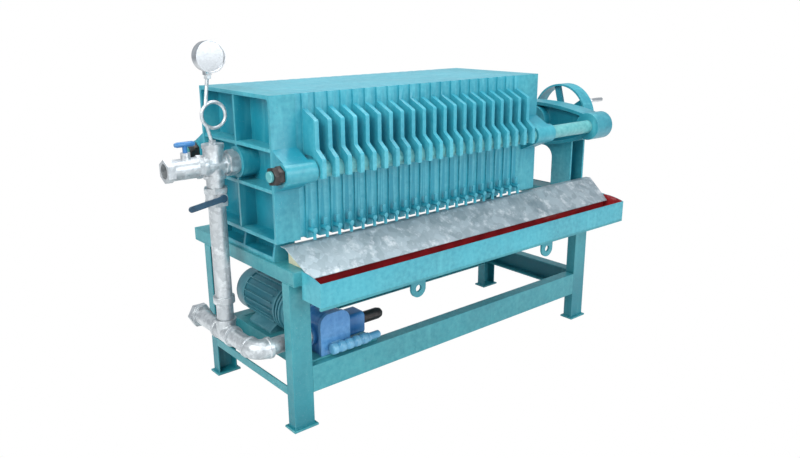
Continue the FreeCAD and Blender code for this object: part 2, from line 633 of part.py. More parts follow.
def make_yoke_legs():
    """The posts end at the yoke's underside."""
    clearing = yoke_outline(YOKE_X - 1, 0).extrude(V(POST_WIDTH + 2 * POST_WALL + 2, 0, 0))
    above = box(YOKE_X - 1, YOKE_X + POST_WIDTH + POST_WALL + 1, -ROD_Y, ROD_Y, AXIS_HEIGHT - YOKE_END_DROP, AXIS_HEIGHT)
    return Part.makeCompound([yoke_post(side).cut(clearing).cut(above) for side in (-1, 1)])


def make_press_screw():
    """Trapezoidal screw as a grooved bar, with a plain neck in the follower's hub and a wheel seat."""
    neck_end = FOLLOWER_BACK + FOLLOWER_HUB_LENGTH
    neck = rod(SCREW_CORE / 2, V(FOLLOWER_BACK + ROD_SADDLE_GAP, 0, AXIS_HEIGHT), V(neck_end, 0, AXIS_HEIGHT))
    bar = rod(SCREW_DIA / 2, V(neck_end + ROD_SADDLE_GAP, 0, AXIS_HEIGHT), V(WHEEL_X, 0, AXIS_HEIGHT))
    link = rod(SCREW_CORE / 2, V(neck_end, 0, AXIS_HEIGHT), V(WHEEL_X + WHEEL_WIDTH * 0.8, 0, AXIS_HEIGHT))
    return neck.fuse([bar, link]).removeSplitter()


def make_handwheel():
    """Drum rim, flat spokes set mid-width and a deep hub."""
    centre = V(WHEEL_X, 0, AXIS_HEIGHT)
    out = V(WHEEL_X + WHEEL_WIDTH, 0, AXIS_HEIGHT)
    rim = ring(WHEEL_DIA / 2, WHEEL_DIA / 2 - WHEEL_RIM, centre, out)
    hub = rod(WHEEL_HUB_DIA / 2, centre, V(WHEEL_X + WHEEL_WIDTH * 0.8, 0, AXIS_HEIGHT))
    spokes = []
    mid = WHEEL_X + (WHEEL_WIDTH - SPOKE_THICK) / 2
    for i in range(SPOKE_COUNT):
        spoke = box(mid, mid + SPOKE_THICK, WHEEL_HUB_DIA / 2 - 6, WHEEL_DIA / 2 - WHEEL_RIM / 2,
                    AXIS_HEIGHT - SPOKE_WIDTH / 2, AXIS_HEIGHT + SPOKE_WIDTH / 2)
        spoke.rotate(centre, X, GRIP_ANGLE + i * 360 / SPOKE_COUNT)
        spokes.append(spoke)
    wheel = rim.fuse([hub] + spokes)
    drum = rod(WHEEL_DIA / 2 - WHEEL_RIM / 4, centre, out)
    wheel = wheel.common(drum.fuse(rim)).removeSplitter()
    pad = rod(GRIP_DIA, grip_point(WHEEL_X + WHEEL_WIDTH / 2), grip_point(WHEEL_X + WHEEL_WIDTH))
    wheel = wheel.fuse(pad.common(rod(WHEEL_DIA / 2, centre, out))).removeSplitter()
    bore = rod(SCREW_CORE / 2 + FIT_GAP, centre - X, out + X)
    return wheel.cut(bore)


def grip_point(x):
    angle = math.radians(GRIP_ANGLE)
    return V(x, GRIP_RADIUS * math.cos(angle), AXIS_HEIGHT + GRIP_RADIUS * math.sin(angle))


def make_handwheel_grip():
    """Turned grip: necked at the wheel, round at its tip."""
    radius = GRIP_DIA / 2
    profile = [(0, radius * 0.6), (GRIP_LENGTH * 0.1, radius * 0.6), (GRIP_LENGTH * 0.16, radius * 0.9),
               (GRIP_LENGTH * 0.6, radius), (GRIP_LENGTH * 0.94, radius * 0.9), (GRIP_LENGTH, radius * 0.5)]
    return revolve(profile, grip_point(WHEEL_X + WHEEL_WIDTH), X)


# ---------------------------------------------------------------- tray and chute

def make_tray():
    """Sheet trough on the front of the rim, open above, its end walls arched up to the rim's top edge."""
    y0 = RIM_FRONT_Y - TRAY_WIDTH
    y1 = RIM_FRONT_Y
    x1 = TRAY_LEFT + TRAY_LENGTH
    top = TRAY_BOTTOM + TRAY_DEPTH
    rear_top = top + TRAY_END_RISE
    at = [V(TRAY_LEFT, y0, TRAY_BOTTOM), V(TRAY_LEFT, y0, top), V(TRAY_LEFT, (y0 + y1) / 2, top + TRAY_END_RISE * 0.8),
          V(TRAY_LEFT, y1, rear_top), V(TRAY_LEFT, y1, TRAY_BOTTOM)]
    edges = [Part.makeLine(at[0], at[1]), Part.Arc(at[1], at[2], at[3]).toShape(), Part.makeLine(at[3], at[4]),
             Part.makeLine(at[4], at[0])]
    block = Part.Face(Part.Wire(edges)).extrude(V(TRAY_LENGTH, 0, 0))
    sheet = TRAY_SHEET
    inside = box(TRAY_LEFT + sheet, x1 - sheet, y0 + sheet, y1 - sheet, TRAY_BOTTOM + sheet, rear_top + 1)
    above = box(TRAY_LEFT + sheet, x1 - sheet, y0 - 1, y1 + 1, top, rear_top + 1)
    return block.cut(inside).cut(above)


def make_tray_rail():
    """Flat bar under the tray's front edge, with two round lugs that carry a hole each."""
    y0 = RIM_FRONT_Y - TRAY_WIDTH
    y1 = y0 + TRAY_RAIL
    rail = box(TRAY_LEFT, TRAY_LEFT + TRAY_LENGTH, y0, y1, TRAY_BOTTOM - TRAY_RAIL, TRAY_BOTTOM)
    centre_z = TRAY_BOTTOM - LUG_DROP + LUG_WIDTH / 2
    holes = []
    for x in LUG_POSITIONS:
        lug = box(x - LUG_WIDTH / 2, x + LUG_WIDTH / 2, y0, y1, centre_z, TRAY_BOTTOM - TRAY_RAIL)
        disc = rod(LUG_WIDTH / 2, V(x, y0, centre_z), V(x, y1, centre_z))
        below = box(x - LUG_WIDTH, x + LUG_WIDTH, y0, y1, TRAY_BOTTOM - LUG_DROP, centre_z)
        rail = rail.fuse([lug, disc.common(below)])
        holes.append(rod(LUG_HOLE_DIA / 2, V(x, y0 - 1, centre_z), V(x, y1 + 1, centre_z)))
    return rail.removeSplitter().cut(holes)


def chute_top(y):
    """Height of the chute's upper surface at y."""
    bend_y = CHUTE_LIP_Y - CHUTE_LIP_WIDTH
    slope = (CHUTE_LIP_Z - CHUTE_TOE_Z) / (bend_y - CHUTE_TOE_Y)
    return CHUTE_LIP_Z - max(0.0, bend_y - y) * slope


def chute_under(y):
    """Height of its lower surface, one sheet below measured square to the slope."""
    bend_y = CHUTE_LIP_Y - CHUTE_LIP_WIDTH
    slope = math.atan2(CHUTE_LIP_Z - CHUTE_TOE_Z, bend_y - CHUTE_TOE_Y)
    return chute_top(y) - CHUTE_SHEET / math.cos(slope)


def make_chute():
    """Galvanised drip sheet: flat lip under the cocks, sloping over the rim into the tray."""
    bend_y = CHUTE_LIP_Y - CHUTE_LIP_WIDTH
    ys = (CHUTE_LIP_Y, bend_y, CHUTE_TOE_Y)
    outline = [(y, chute_top(y)) for y in ys] + [(y, chute_under(y)) for y in reversed(ys)]
    x1 = CHUTE_LEFT + CHUTE_LENGTH
    sheet = slab_x(outline, CHUTE_LEFT, x1)
    z0 = CHUTE_TOE_Z - CHUTE_LIP_WIDTH
    height = V(0, 0, CHUTE_LIP_Z - z0 + 1)
    for edge_x, toe_x in ((CHUTE_LEFT, CHUTE_LEFT + CHUTE_TOE_TAPER), (x1, x1 - CHUTE_TOE_TAPER_RIGHT)):
        wedge = face([(edge_x, bend_y, z0), (toe_x, CHUTE_TOE_Y, z0), (toe_x, CHUTE_TOE_Y - 1, z0),
                      (edge_x, CHUTE_TOE_Y - 1, z0)]).extrude(height)
        sheet = sheet.cut(wedge)
    return sheet


def make_chute_brackets():
    """Gusset at each end that stands on a cross beam and carries the chute."""
    y0 = RIM_FRONT_Y + RIM_WALL
    bend_y = CHUTE_LIP_Y - CHUTE_LIP_WIDTH
    outline = [(y0, TABLE_HEIGHT), (y0, chute_under(y0)), (bend_y, chute_under(bend_y)),
               (CHUTE_LIP_Y, chute_under(CHUTE_LIP_Y)), (CHUTE_LIP_Y, TABLE_HEIGHT)]
    middles = (RIM_WALL + CROSS_BEAM_WIDTH / 2, YOKE_X + POST_WALL + CROSS_BEAM_WIDTH / 2)
    return Part.makeCompound([slab_x(outline, x - BRACKET_THICK / 2, x + BRACKET_THICK / 2) for x in middles])


# ---------------------------------------------------------------- feed pipe, valves and gauge

PIPE_RADIUS = PIPE_DIA / 2
PIPE_BORE = PIPE_RADIUS - PIPE_WALL
TEE = V(RISER_X, 0, LOWER_PIPE_Z)
CROSS = V(RISER_X, 0, AXIS_HEIGHT)
VALVE = V(RISER_X, 0, VALVE_Z)
RETURN_END_X = RISER_X - CROSS_REACH - RETURN_LENGTH
ELBOW_Y = PUMP_PIPE_Y + ELBOW_RADIUS
PUMP_LEFT = MOTOR_X - PUMP_WIDTH / 2
PUMP_RIGHT = MOTOR_X + PUMP_WIDTH / 2


def fitting(centre, direction, run, branch, boss=0.0):
    """Malleable fitting: a bored run through centre, a bored branch and, if boss is set, a blind boss opposite it.

    run is the half length along direction, branch is a vector from centre, and each mouth has a band.
    """
    radius = FITTING_DIA / 2
    band = FITTING_DIA / 6
    ends = (centre - direction * run, centre + direction * run)
    shape = rod(radius - 2, *ends)
    branch_end = centre + branch
    out = V(branch).normalize()
    arms = [rod(radius, ends[0], ends[0] + direction * band), rod(radius, ends[1] - direction * band, ends[1]),
            rod(radius - 3, centre, branch_end), rod(radius, branch_end - out * band, branch_end)]
    if boss:
        boss_end = centre - out * boss
        arms += [rod(radius - 3, centre, boss_end), rod(radius, boss_end + out * band, boss_end)]
    shape = shape.fuse(arms).removeSplitter()
    bore = rod(PIPE_BORE, ends[0] - direction, ends[1] + direction)
    return shape.cut(bore).cut(rod(PIPE_BORE - FITTING_STEP, centre, branch_end + out))


def make_lower_tee():
    return fitting(TEE, Y, TEE_REACH, Z * TEE_REACH)


def make_lower_elbow():
    """Quarter bend between the run along Y and the run to the pump."""
    centre = V(RISER_X + ELBOW_RADIUS, ELBOW_Y, LOWER_PIPE_Z)
    start = V(RISER_X, ELBOW_Y, LOWER_PIPE_Z)
    outer = Part.Face(Part.Wire(Part.makeCircle(FITTING_DIA / 2 - 3, start, Y)))
    inner = Part.Face(Part.Wire(Part.makeCircle(PIPE_BORE, start, Y)))
    bend = outer.revolve(centre, Z, 90)
    hollow = inner.revolve(centre, Z, 90)
    band = FITTING_DIA / 6
    end = V(RISER_X + ELBOW_RADIUS, PUMP_PIPE_Y, LOWER_PIPE_Z)
    mouths = [ring(FITTING_DIA / 2, PIPE_BORE, start, start + Y * band),
              ring(FITTING_DIA / 2, PIPE_BORE, end, end + X * band)]
    return bend.cut(hollow).fuse(mouths).removeSplitter()


def pipe(start, end):
    return ring(PIPE_RADIUS, PIPE_BORE, start, end)


def make_feed_pipes():
    """Three straight lengths: tee to elbow, elbow to pump, and tee to the open union."""
    band = FITTING_DIA / 6
    z = LOWER_PIPE_Z
    return Part.makeCompound([
        pipe(V(RISER_X, -TEE_REACH, z), V(RISER_X, ELBOW_Y + band, z)),
        pipe(V(RISER_X + ELBOW_RADIUS + band, PUMP_PIPE_Y, z), V(PUMP_LEFT - PUMP_FLANGE, PUMP_PIPE_Y, z)),
        pipe(V(RISER_X, TEE_REACH, z), V(RISER_X, UNION_Y - UNION_NUT_LENGTH, z))])


def make_drain_union():
    """Open union half at the rear end of the run: hexagon nut on a bored tail."""
    start = V(RISER_X, UNION_Y - UNION_NUT_LENGTH, LOWER_PIPE_Z)
    nut_end = V(RISER_X, UNION_Y, LOWER_PIPE_Z)
    nut = hex_nut(UNION_NUT_ACROSS, start + Y * (UNION_NUT_LENGTH / 4), nut_end)
    collar = rod(FITTING_DIA / 2, start, nut_end)
    return nut.fuse(collar).cut(rod(UNION_BORE / 2, start - Y, nut_end + Y))


def make_riser_pipe():
    """Riser with its weld collar, and the short nipple above the ball valve."""
    start = TEE + Z * TEE_REACH
    end = VALVE - Z * (VALVE_LENGTH / 2)
    collar_z = start.z + FITTING_DIA * 0.8
    collar = ring(FITTING_DIA / 2, PIPE_BORE, V(RISER_X, 0, collar_z), V(RISER_X, 0, collar_z + FITTING_DIA / 3))
    nipple = pipe(VALVE + Z * (VALVE_LENGTH / 2), CROSS - Z * CROSS_REACH)
    return Part.makeCompound([pipe(start, end).fuse(collar).removeSplitter(), nipple])


def make_ball_valve():
    """Two hexagon ends, a round waist and a gland for the stem on the front."""
    half = VALVE_LENGTH / 2
    end = VALVE_LENGTH / 3.5
    lower = hex_nut(VALVE_HEX, VALVE - Z * half, VALVE - Z * (half - end))
    upper = hex_nut(VALVE_HEX, VALVE + Z * (half - end), VALVE + Z * half)
    waist = rod(VALVE_HEX / 2 - 1, VALVE - Z * half, VALVE + Z * half)
    gland = rod(LEVER_STEM_DIA, VALVE, V(RISER_X, LEVER_STEM_Y, VALVE_Z))
    body = waist.fuse([lower, upper, gland])
    stem_end = V(RISER_X, LEVER_STEM_Y + LEVER_STEM_DIA / 2, VALVE_Z)
    socket = rod(LEVER_STEM_DIA / 2 + FIT_GAP, stem_end, V(RISER_X, LEVER_STEM_Y - 1, VALVE_Z))
    return body.cut(rod(PIPE_BORE, VALVE - Z * (half + 1), VALVE + Z * (half + 1))).cut(socket)


def make_ball_valve_lever():
    """Flat lever across the pipe, slightly drooping, on its stem."""
    front = LEVER_STEM_Y - LEVER_THICK - ROD_SADDLE_GAP
    back = LEVER_STEM_Y - ROD_SADDLE_GAP
    hub = rod(LEVER_STEM_DIA * 0.75, V(RISER_X, front, VALVE_Z), V(RISER_X, back, VALVE_Z))
    stem_end = LEVER_STEM_Y + LEVER_STEM_DIA / 2 - ROD_SADDLE_GAP
    stem = rod(LEVER_STEM_DIA / 2, V(RISER_X, front, VALVE_Z), V(RISER_X, stem_end, VALVE_Z))
    half = LEVER_WIDTH / 2
    blade = box(RISER_X - LEVER_REACH + half, RISER_X, front, back, VALVE_Z - half, VALVE_Z + half)
    tip = rod(half, V(RISER_X - LEVER_REACH + half, front, VALVE_Z), V(RISER_X - LEVER_REACH + half, back, VALVE_Z))
    lever = hub.fuse([stem, blade, tip]).removeSplitter()
    lever.rotate(VALVE, Y, LEVER_DROOP)
    return lever


def make_upper_cross():
    """Cross over the riser: return branch, head branch and a tall boss for the siphon."""
    return fitting(CROSS, X, CROSS_REACH, -Z * CROSS_REACH, CROSS_TOP)


def make_head_union():
    start = CROSS + X * CROSS_REACH
    end = V(0, 0, AXIS_HEIGHT)
    nut = hex_nut(UNION_NUT_ACROSS, start, end - X * (end.x - start.x) * 0.25)
    tail = rod(FITTING_DIA / 2, start, end)
    return nut.fuse(tail).cut(rod(PIPE_BORE, start - X, end + X))


def make_return_valve():
    """Straight valve on the return branch, open at its hexagon end, with a gland on top."""
    start = CROSS - X * CROSS_REACH
    end = V(RETURN_END_X, 0, AXIS_HEIGHT)
    body = rod(RETURN_DIA / 2, start, end)
    hexagon = hex_nut(RETURN_DIA, end + X * RETURN_HEX_LENGTH, end)
    near = hex_nut(RETURN_DIA, start, start - X * (RETURN_HEX_LENGTH * 0.7))
    gland_top = CROSS.z + RETURN_STEM_HEIGHT / 2 + RETURN_DIA / 4
    gland = rod(RETURN_STEM_DIA, V(RETURN_STEM_X, 0, AXIS_HEIGHT), V(RETURN_STEM_X, 0, gland_top))
    valve = body.fuse([hexagon, near, gland])
    bore = rod(RETURN_BORE / 2, start + X, end - X)
    socket = rod(RETURN_STEM_DIA / 2 + FIT_GAP, V(RETURN_STEM_X, 0, gland_top - RETURN_STEM_DIA / 2),
                 V(RETURN_STEM_X, 0, gland_top + 1))
    return valve.cut(bore).cut(socket)


def make_return_valve_handle():
    """T-handle on the return valve's stem."""
    gland_top = CROSS.z + RETURN_STEM_HEIGHT / 2 + RETURN_DIA / 4
    bottom = gland_top - RETURN_STEM_DIA / 2 + ROD_SADDLE_GAP
    top = AXIS_HEIGHT + RETURN_STEM_HEIGHT + RETURN_HANDLE_DIA / 2
    stem = rod(RETURN_STEM_DIA / 2, V(RETURN_STEM_X, 0, bottom), V(RETURN_STEM_X, 0, top))
    half = RETURN_HANDLE_LENGTH / 2
    radius = RETURN_HANDLE_DIA / 2
    profile = [(0, radius * 0.7), (radius, radius), (2 * half - radius, radius), (2 * half, radius * 0.7)]
    bar = revolve(profile, V(RETURN_STEM_X - half, 0, top), X)
    return stem.fuse(bar).removeSplitter()


def make_siphon():
    """Pigtail siphon: riser stem, one loop and the stem to the gauge."""
    radius = SIPHON_LOOP_DIA / 2
    tube = SIPHON_DIA / 2
    centre = V(RISER_X + SIPHON_DIA, 0, SIPHON_LOOP_Z)
    loop = Part.makeTorus(radius, tube, centre, Y)
    low = V(RISER_X, 0, AXIS_HEIGHT + CROSS_TOP)
    left_low = centre + V(-radius * math.cos(0.9), 0, -radius * math.sin(0.9))
    left_high = centre + V(-radius * math.cos(0.9), 0, radius * math.sin(0.9))
    high = V(RISER_X, 0, SIPHON_TOP)
    stems = [rod(tube, low, left_low), rod(tube, left_high, high), Part.makeSphere(tube, left_low),
             Part.makeSphere(tube, left_high)]
    nuts = [hex_nut(GAUGE_STEM_WIDTH, low, low + Z * SIPHON_DIA), hex_nut(GAUGE_STEM_WIDTH, high - Z * SIPHON_DIA, high)]
    shape = loop.fuse(stems + nuts)
    band = box(-500, 500, -100, 100, low.z, high.z)
    return shape.common(band)


def make_pressure_gauge():
    """Case with its bezel on a square stem, dial towards the front."""
    front = GAUGE_BACK_Y - GAUGE_DEPTH
    radius = GAUGE_DIA / 2
    bezel = GAUGE_DEPTH * 0.25
    profile = [(0, radius * 0.8), (bezel * 0.4, radius * 0.94), (GAUGE_DEPTH - bezel, radius * 0.94),
               (GAUGE_DEPTH - bezel, radius), (GAUGE_DEPTH, radius)]
    case = revolve(profile, V(RISER_X, GAUGE_BACK_Y, GAUGE_Z), -Y)
    recess = rod(radius - bezel / 3, V(RISER_X, front - 1, GAUGE_Z), V(RISER_X, front + bezel / 3, GAUGE_Z))
    half = GAUGE_STEM_WIDTH / 2
    stem = box(RISER_X - half, RISER_X + half, -half, half, SIPHON_TOP, GAUGE_Z - radius * 0.8)
    return case.cut(recess).fuse(stem).removeSplitter()


# ---------------------------------------------------------------- motor and gear pump

def make_motor():
    """Foot-mounted motor along Y: finned barrel, ring ribs at the drive end and a cast foot."""
    start = V(MOTOR_X, MOTOR_FRONT, SHAFT_Z)
    end = start + Y * MOTOR_LENGTH
    radius = MOTOR_DIA / 2
    barrel = rod(radius, start, end)
    fins = []
    for i in range(MOTOR_FIN_COUNT):
        fin = box(MOTOR_X - 2, MOTOR_X + 2, MOTOR_FRONT + MOTOR_LENGTH * 0.25, MOTOR_FRONT + MOTOR_LENGTH,
                  SHAFT_Z + radius - 4, SHAFT_Z + radius + MOTOR_FIN)
        angle = i * 360 / MOTOR_FIN_COUNT
        if not 140 < angle < 220:
            fin.rotate(start, Y, angle)
            fins.append(fin)
    ribs = [rod(radius + MOTOR_FIN, start + Y * (MOTOR_LENGTH * share), start + Y * (MOTOR_LENGTH * share + MOTOR_FIN))
            for share in (0, 0.07, 0.14)]
    half = MOTOR_FOOT_SPREAD / 2
    pad = MOTOR_FOOT_THICK * 1.5
    rise = BASE_TOP + MOTOR_FOOT_THICK
    outline = [(-half - pad, BASE_TOP), (-half - pad, rise), (-half + pad, rise + MOTOR_FOOT_THICK * 2),
               (half - pad, rise + MOTOR_FOOT_THICK * 2), (half + pad, rise), (half + pad, BASE_TOP)]
    foot = slab_y([(MOTOR_X + x, z) for x, z in outline], MOTOR_FRONT + MOTOR_LENGTH * 0.2,
                  MOTOR_FRONT + MOTOR_LENGTH * 0.8)
    motor = barrel.fuse(fins + ribs + [foot])
    return motor.common(box(-500, 1000, -1000, 1000, BASE_TOP, SHAFT_Z + MOTOR_DIA)).removeSplitter()


def make_motor_fan_cover():
    radius = FAN_COVER_DIA / 2
    length = FAN_COVER_LENGTH
    profile = [(0, radius), (length * 0.75, radius), (length * 0.92, radius * 0.94), (length, radius * 0.8)]
    cover = revolve(profile, V(MOTOR_X, MOTOR_FRONT + MOTOR_LENGTH, SHAFT_Z), Y)
    return cover


def make_coupling_bell():
    """Bell housing between the motor and the pump, with its two flanges."""
    start = V(MOTOR_X, MOTOR_FRONT, SHAFT_Z)
    length = MOTOR_FRONT - (PUMP_FRONT + PUMP_DEPTH)
    radius = MOTOR_DIA / 2
    small = BELL_SMALL_DIA / 2
    profile = [(0, radius), (PUMP_FLANGE, radius), (PUMP_FLANGE, radius * 0.9), (length * 0.7, small),
               (length - PUMP_FLANGE, small), (length - PUMP_FLANGE, small + 6), (length, small + 6)]
    return revolve(profile, start, -Y)


def pump_block(margin, y0, y1):
    """Round-topped block of the pump's body, larger than it by margin."""
    x0 = PUMP_LEFT - margin
    x1 = PUMP_RIGHT + margin
    top = BASE_TOP + PUMP_BODY_HEIGHT + margin
    block = box(x0, x1, y0, y1, BASE_TOP, top)
    shoulders = [e for e in block.Edges if e.BoundBox.YLength > 1 and e.BoundBox.ZMin > top - 1]
    return block.makeFillet(PUMP_WIDTH / 3, shoulders)


def make_gear_pump():
    """Body between two covers, with a round pressure port on the left and a suction block on the right."""
    back = PUMP_FRONT + PUMP_DEPTH
    body = pump_block(0, PUMP_FRONT + PUMP_FLANGE, back - PUMP_FLANGE)
    covers = [pump_block(4, PUMP_FRONT, PUMP_FRONT + PUMP_FLANGE), pump_block(4, back - PUMP_FLANGE, back)]
    port = rod(FITTING_DIA / 2, V(PUMP_LEFT - PUMP_FLANGE, PUMP_PIPE_Y, LOWER_PIPE_Z),
               V(PUMP_LEFT + 10, PUMP_PIPE_Y, LOWER_PIPE_Z))
    half = PORT_SIZE / 2
    block = box(PUMP_RIGHT - 4, PUMP_RIGHT + PORT_LENGTH, PUMP_PIPE_Y - half, PUMP_PIPE_Y + half,
                LOWER_PIPE_Z - half, LOWER_PIPE_Z + half)
    edges = [e for e in block.Edges if e.BoundBox.XLength > 1]
    block = block.makeFillet(PORT_SIZE / 5, edges)
    bore = rod(PIPE_BORE, V(PUMP_LEFT - PUMP_FLANGE - 1, PUMP_PIPE_Y, LOWER_PIPE_Z),
               V(PUMP_LEFT + 5, PUMP_PIPE_Y, LOWER_PIPE_Z))
    return body.fuse(covers + [port, block]).removeSplitter().cut(bore)


def make_suction_nipple():
    """Capped nipple on the suction block."""
    radius = NIPPLE_DIA / 2
    profile = [(0, radius), (NIPPLE_LENGTH - radius, radius), (NIPPLE_LENGTH - radius * 0.35, radius * 0.8),
               (NIPPLE_LENGTH, radius * 0.4)]
    return revolve(profile, V(PUMP_RIGHT + PORT_LENGTH, PUMP_PIPE_Y, LOWER_PIPE_Z), X)


def make_relief_valve():
    """Ribbed spring housing across the pump's front, on a square flange, with its adjusting tip."""
    radius = RELIEF_DIA / 2
    barrel = RELIEF_LENGTH - RELIEF_TIP_LENGTH
    profile = [(0, radius * 0.8)]
    ridges = 5
    step = barrel / ridges
    for i in range(ridges):
        profile += [(i * step + step * 0.1, radius), (i * step + step * 0.6, radius),
                    (i * step + step * 0.7, radius * 0.86), (i * step + step, radius * 0.86)]
    profile += [(barrel, RELIEF_TIP_DIA / 2), (RELIEF_LENGTH - 4, RELIEF_TIP_DIA / 2),
                (RELIEF_LENGTH, RELIEF_TIP_DIA / 2 - 4)]
    axis_y = PUMP_FRONT - radius - 2
    housing = revolve(profile, V(RELIEF_X, axis_y, RELIEF_Z), X)
    flange = box(MOTOR_X - radius, MOTOR_X + radius, axis_y, PUMP_FRONT, RELIEF_Z - radius * 0.8, RELIEF_Z + radius * 0.8)
    return housing.fuse(flange).removeSplitter()


PARTS = {
    "legs": make_legs,
    "rim_long_rails": make_rim_long_rails,
    "rim_end_rails": make_rim_end_rails,
    "cross_beams": make_cross_beams,
    "lower_stretchers": make_lower_stretchers,
    "pump_beams": make_pump_beams,
    "pump_base_plate": make_base_plate,
    "tray": make_tray,
    "tray_rail": make_tray_rail,
    "chute": make_chute,
    "chute_brackets": make_chute_brackets,
    "head_plate": make_head_plate,
    "tie_rods": make_tie_rods,
    "rod_nuts": make_rod_nuts,
    "follower_plate": make_follower_plate,
    "tail_yoke": make_tail_yoke,
    "yoke_posts": make_yoke_legs,
    "press_screw": make_press_screw,
    "handwheel": make_handwheel,
    "handwheel_grip": make_handwheel_grip,
    "motor": make_motor,
    "motor_fan_cover": make_motor_fan_cover,
    "coupling_bell": make_coupling_bell,
    "gear_pump": make_gear_pump,
    "relief_valve": make_relief_valve,
    "suction_nipple": make_suction_nipple,
    "feed_pipes": make_feed_pipes,
    "lower_tee": make_lower_tee,
    "lower_elbow": make_lower_elbow,
    "drain_union": make_drain_union,
    "riser_pipe": make_riser_pipe,
    "ball_valve": make_ball_valve,
    "ball_valve_lever": make_ball_valve_lever,
    "upper_cross": make_upper_cross,
    "head_union": make_head_union,
    "return_valve": make_return_valve,
    "return_valve_handle": make_return_valve_handle,
    "siphon": make_siphon,
    "pressure_gauge": make_pressure_gauge,
}


def plate_name(number):
    return f"filter_plate_{number:02d}"


def build():
    """All sub-parts by name, in the working datum."""
    shapes = {name: make() for name, make in PARTS.items()}
    for number in range(1, PLATE_COUNT + 1):
        shapes[plate_name(number)] = make_filter_plate(number)
    return shapes


def origin_shift(shapes):
    """Move that puts the bottom centre of the whole model's box at the origin."""
    bounds = Part.makeCompound(list(shapes.values())).BoundBox
    return V(-(bounds.XMin + bounds.XMax) / 2, -(bounds.YMin + bounds.YMax) / 2, -bounds.ZMin)


SHAPES = build()
SHIFT = origin_shift(SHAPES)
os.makedirs("parts", exist_ok=True)
for name, shape in SHAPES.items():
    shape.translate(SHIFT)
    shape.exportStep(f"parts/{name}.step")
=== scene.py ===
"""Looks of the plate filter press: materials, light and camera around the fixed CAD frame.

Everything is in metres in the row frame: +X towards the handwheel, -Y the front with the cocks, +Z up.
Each CAD node is dressed as a copy of its own, with its flats joined, its edges rounded and one material.
Materials are procedural. Their noise scales are per metre and their ramps run from 0 to 1.
"""
import json
import math

import bmesh
import bpy
from mathutils import Matrix, Vector


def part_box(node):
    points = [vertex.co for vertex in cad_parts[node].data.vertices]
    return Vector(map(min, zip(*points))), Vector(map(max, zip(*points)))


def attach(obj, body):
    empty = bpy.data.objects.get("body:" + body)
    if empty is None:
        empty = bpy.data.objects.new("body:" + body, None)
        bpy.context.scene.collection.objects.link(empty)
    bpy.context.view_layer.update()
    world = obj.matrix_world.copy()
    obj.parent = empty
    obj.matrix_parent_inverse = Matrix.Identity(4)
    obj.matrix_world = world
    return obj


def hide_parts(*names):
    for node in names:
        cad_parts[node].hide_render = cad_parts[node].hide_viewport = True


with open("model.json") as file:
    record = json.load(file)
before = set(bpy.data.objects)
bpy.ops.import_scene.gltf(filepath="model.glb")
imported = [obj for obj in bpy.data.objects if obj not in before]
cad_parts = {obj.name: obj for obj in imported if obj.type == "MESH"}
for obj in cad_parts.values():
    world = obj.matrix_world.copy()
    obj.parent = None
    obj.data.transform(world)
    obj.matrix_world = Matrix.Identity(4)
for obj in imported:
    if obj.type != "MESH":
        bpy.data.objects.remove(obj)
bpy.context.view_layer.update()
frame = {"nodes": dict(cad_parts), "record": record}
MM = 0.001
BODY_OF = {node: body for body, nodes in frame["record"]["behaviour"]["bodies"].items() for node in nodes}
PLATES = sorted(name for name in frame["nodes"] if name.startswith("filter_plate"))


# ---------------------------------------------------------------- shader helpers

def feed(tree, socket, value):
    """Links value to the socket if it is one itself, else sets it."""
    if isinstance(value, bpy.types.NodeSocket):
        tree.links.new(value, socket)
    else:
        socket.default_value = value


def add(tree, kind, inputs=None, **settings):
    """New shader node with its settings and its inputs, each a value or a socket to link."""
    made = tree.nodes.new(kind)
    for key, value in settings.items():
        setattr(made, key, value)
    for key, value in (inputs or {}).items():
        feed(tree, made.inputs[key], value)
    return made


def rgba(colour):
    return (*colour, 1.0)


def mix_colour(tree, share, a, b):
    """Colour a where share is 0 and b where it is 1. Colours are RGB values or sockets."""
    made = add(tree, "ShaderNodeMix", data_type="RGBA")
    share_input, a_input, b_input = (made.inputs[index] for index in (0, 6, 7))
    feed(tree, share_input, share)
    for socket, colour in ((a_input, a), (b_input, b)):
        feed(tree, socket, colour if isinstance(colour, bpy.types.NodeSocket) else rgba(colour))
    return made.outputs[2]


def noise(tree, coords, scale, detail=3.0, roughness=0.55, stretch=None):
    if stretch:
        coords = add(tree, "ShaderNodeMapping", {"Vector": coords, "Scale": stretch}).outputs["Vector"]
    made = add(tree, "ShaderNodeTexNoise", {"Vector": coords, "Scale": scale, "Detail": detail,
                                             "Roughness": roughness})
    return made.outputs["Fac"]


def ramp(tree, value, start, end):
    """Grey ramp between two stops, each (position, level)."""
    made = add(tree, "ShaderNodeValToRGB", {"Fac": value})
    for element, (position, level) in zip(made.color_ramp.elements, (start, end)):
        element.position = position
        element.color = (level, level, level, 1.0)
    return made.outputs["Color"]


def math_node(tree, operation, a, b):
    made = add(tree, "ShaderNodeMath", operation=operation)
    feed(tree, made.inputs[0], a)
    feed(tree, made.inputs[1], b)
    return made.outputs[0]


def start_material(name):
    material = bpy.data.materials.new(name)
    material.use_nodes = True
    tree = material.node_tree
    shader = tree.nodes["Principled BSDF"]
    coords = add(tree, "ShaderNodeTexCoord").outputs["Object"]
    return material, tree, shader, coords


def set_roughness(tree, shader, value, low, high):
    """Roughness that follows value from low to high."""
    made = add(tree, "ShaderNodeMapRange", {"Value": value, "To Min": low, "To Max": high})
    tree.links.new(made.outputs["Result"], shader.inputs["Roughness"])


def bump(tree, shader, height, strength, distance):
    made = add(tree, "ShaderNodeBump", {"Height": height, "Strength": strength, "Distance": distance})
    tree.links.new(made.outputs["Normal"], shader.inputs["Normal"])


def edge_share(tree):
    """1 on convex edges, 0 elsewhere."""
    pointy = add(tree, "ShaderNodeNewGeometry").outputs["Pointiness"]
    return ramp(tree, pointy, (0.505, 0.0), (0.56, 1.0))


